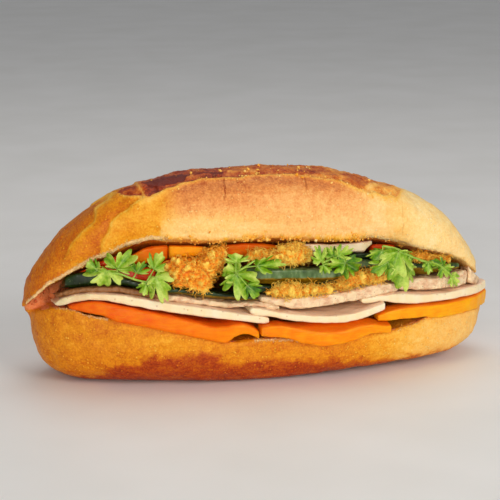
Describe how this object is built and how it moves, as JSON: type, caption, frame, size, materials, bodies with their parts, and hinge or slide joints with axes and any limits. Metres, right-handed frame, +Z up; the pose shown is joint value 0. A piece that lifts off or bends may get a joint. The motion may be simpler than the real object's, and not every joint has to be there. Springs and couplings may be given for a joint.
{
  "type": "filled baguette sandwich",
  "caption": "Crisp split bread roll, open along its front and filled with layered meat slices, carrot, cucumber, tomato, coriander sprigs and pork floss.",
  "frame": {"origin": "on the surface the sandwich rests on, under the middle of its box", "axes": "+X along the roll to its right end as seen from the mouth, -Y out of the open mouth, +Z up"},
  "size_m": [0.2032, 0.079, 0.0884],
  "materials": {
    "crust": "baked crust, satin, golden to red-brown",
    "carrot": "wet cut vegetable, slightly shiny",
    "pork_roll": "smooth moist cut meat",
    "roast_pork": "fibrous cut meat",
    "cucumber": "dark glossy skin over wet flesh",
    "tomato": "wet cut flesh",
    "coriander": "fresh matt leaf",
    "floss": "dry fluffy fibres"
  },
  "bodies": {
    "root": {"roll": "crust", "carrot_left": "carrot", "carrot_middle": "carrot", "carrot_right": "carrot", "carrot_under_lip": "carrot", "carrot_block": "carrot", "carrot_long": "carrot", "carrot_sliver": "carrot", "pork_roll_left": "pork_roll", "pork_roll_middle": "pork_roll", "pork_roll_right": "pork_roll", "pork_roll_upper": "pork_roll", "roast_pork_left": "roast_pork", "roast_pork_ragged": "roast_pork", "roast_pork_middle": "roast_pork", "roast_pork_right": "roast_pork", "roast_pork_end": "roast_pork", "cucumber_left": "cucumber", "cucumber_low": "cucumber", "cucumber_middle": "cucumber", "cucumber_behind_floss": "cucumber", "cucumber_high_dark": "cucumber", "cucumber_high": "cucumber", "cucumber_right": "cucumber", "tomato_left": "tomato", "tomato_far_left": "tomato", "tomato_middle": "tomato", "tomato_right": "tomato", "coriander_left": "coriander", "coriander_middle": "coriander", "coriander_curly": "coriander", "coriander_dense": "coriander", "coriander_right": "coriander", "floss_left": "floss", "floss_upper": "floss", "floss_front": "floss", "floss_middle": "floss", "floss_right": "floss"}
  },
  "joints": []
}
